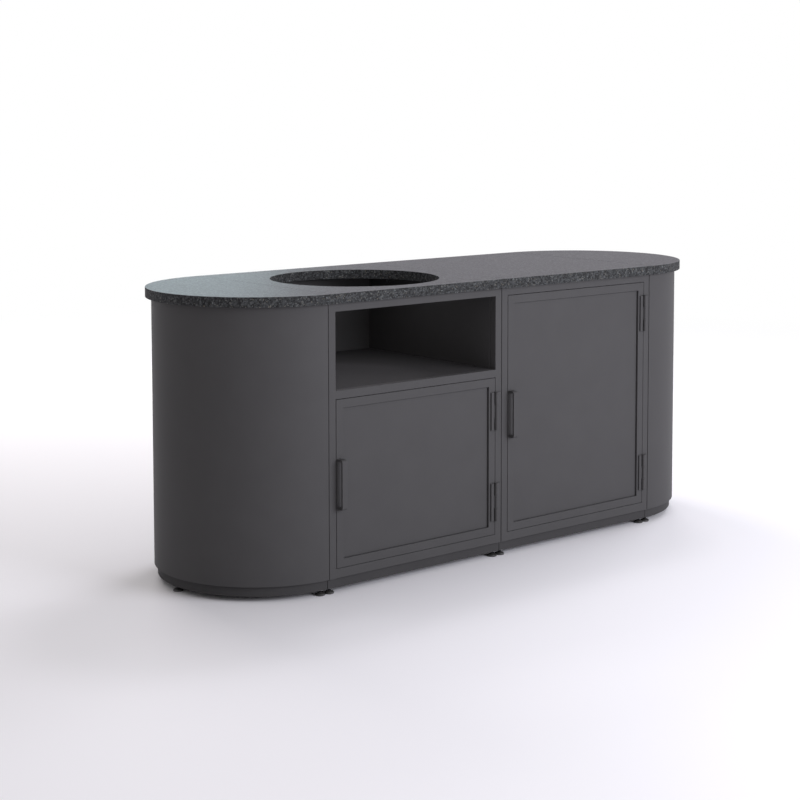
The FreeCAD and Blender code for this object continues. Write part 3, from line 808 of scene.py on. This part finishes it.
def studio_floor():
    """Painted studio floor: matt, nearly white, plain white in the distance."""
    material = bpy.data.materials.new("studio_floor")
    tree = empty_tree(material)
    place = add_node(tree, "TexCoord", {}).outputs["Object"]
    away = add_node(tree, "VectorMath", {0: place}, operation="LENGTH")
    fade = add_node(tree, "MapRange", {
        "Value": away.outputs["Value"], "From Min": FLOOR_WHITE_FROM, "From Max": FLOOR_WHITE_BY,
    }, interpolation_type="SMOOTHSTEP")
    rays = add_node(tree, "LightPath", {})
    seen = add_node(tree, "Math", {
        0: rays.outputs["Is Camera Ray"], 1: rays.outputs["Is Glossy Ray"],
    }, operation="MAXIMUM")
    share = add_node(tree, "Math", {
        0: fade.outputs["Result"], 1: seen.outputs["Value"],
    }, operation="MULTIPLY")
    paint = add_node(tree, "BsdfDiffuse", {"Color": linear("#f2f0f5")})
    white = add_node(tree, "Emission", {"Color": (1, 1, 1, 1), "Strength": 1.0})
    mixed = add_node(tree, "MixShader", {
        0: share.outputs["Value"], 1: paint.outputs["BSDF"], 2: white.outputs["Emission"],
    })
    add_node(tree, "OutputMaterial", {"Surface": mixed.outputs["Shader"]})
    return material


floor_mesh = bpy.data.meshes.new("floor")
corners = np.array([(-1, -1, 0), (1, -1, 0), (1, 1, 0), (-1, 1, 0)]) * FLOOR_HALF
floor_mesh.from_pydata(corners, [], [(0, 1, 2, 3)])
floor_mesh.materials.append(studio_floor())
floor = bpy.data.objects.new("floor", floor_mesh)
scene.collection.objects.link(floor)

world = bpy.data.worlds.new("white_surround")
tree = empty_tree(world)
rays = add_node(tree, "LightPath", {})
straight = add_node(tree, "Math", {
    0: rays.outputs["Is Camera Ray"], 1: rays.outputs["Is Glossy Ray"],
}, operation="MAXIMUM")
shown = add_node(tree, "Math", {
    0: straight.outputs["Value"], 1: rays.outputs["Is Transmission Ray"],
}, operation="MAXIMUM")
ambient = add_node(tree, "Background", {"Color": linear("#fffdfb"), "Strength": SURROUND_LIGHT})
tone = add_node(tree, "MixRGB", {
    "Fac": rays.outputs["Is Camera Ray"], "Color1": linear("#faf6ff"), "Color2": (1, 1, 1, 1),
})
white = add_node(tree, "Background", {"Color": tone.outputs["Color"], "Strength": 1.0})
mixed = add_node(tree, "MixShader", {
    0: shown.outputs["Value"], 1: ambient.outputs["Background"], 2: white.outputs["Background"],
})
add_node(tree, "OutputWorld", {"Surface": mixed.outputs["Shader"]})
scene.world = world

# Softboxes
# A wide softbox low in front lights the doors. Three more, high on the right and behind, throw
# soft shadows to the left, and a pale window behind shows as a sheen on the worktop's left end.
LAMPS = {
    "front_softbox": {
        "place": (1.3, -4.3, 1.7), "size": (3.0, 2.0), "watts": 170,
        "colour": "#f6f8ff", "mirrored": True,
    },
    "right_softbox": {
        "place": (5.5, 1.0, 4.6), "size": (3.0, 2.5), "watts": 150,
        "colour": "#f8faff", "mirrored": False,
    },
    "high_softbox": {
        "place": (2.8, 2.0, 6.5), "size": (1.2, 1.2), "watts": 65,
        "colour": "#fdfbff", "mirrored": False,
    },
    "back_softbox": {
        "place": (0.7, 5.3, 3.5), "size": (3.0, 2.5), "watts": 140,
        "colour": "#fff9f4", "mirrored": False,
    },
    "window": {
        "place": (2.5, 6.0, 1.6), "size": (1.8, 2.4), "watts": 40,
        "colour": "#d2f1f5", "mirrored": True,
    },
}
LAMP_AIM = np.array([0.0, 0.0, 0.5])

for name, lamp in LAMPS.items():
    light = bpy.data.lights.new(name, "AREA")
    light.shape = "RECTANGLE"
    light.size, light.size_y = lamp["size"]
    light.energy = lamp["watts"]
    light.color = linear(lamp["colour"])[:3]
    softbox = bpy.data.objects.new(name, light)
    softbox.location = lamp["place"]
    toward = LAMP_AIM - lamp["place"]
    flat = math.hypot(toward[0], toward[1])
    softbox.rotation_euler = (math.atan2(flat, -toward[2]), 0, math.atan2(-toward[0], toward[1]))
    softbox.visible_camera = False
    softbox.visible_glossy = lamp["mirrored"]
    scene.collection.objects.link(softbox)

# Camera
# It stands to the front and left, half a metre above the worktop, and looks slightly down. The
# lens is shifted down instead of tilting the camera further, so the uprights stay nearly parallel.
CAMERA_PLACE = (-3.6106, -4.2680, 1.4297)
CAMERA_TURN = math.radians(-40.187)
CAMERA_TILT = math.radians(-4.488)
CAMERA_LENS = 76.74
CAMERA_SHIFT = (-0.04, -0.20)

camera_data = bpy.data.cameras.new("camera")
camera_data.lens = CAMERA_LENS
camera_data.shift_x, camera_data.shift_y = CAMERA_SHIFT
camera = bpy.data.objects.new("camera", camera_data)
camera.location = CAMERA_PLACE
camera.rotation_euler = (math.pi / 2 + CAMERA_TILT, 0, CAMERA_TURN)
scene.collection.objects.link(camera)
scene.camera = camera
scene.view_settings.view_transform = "Standard"
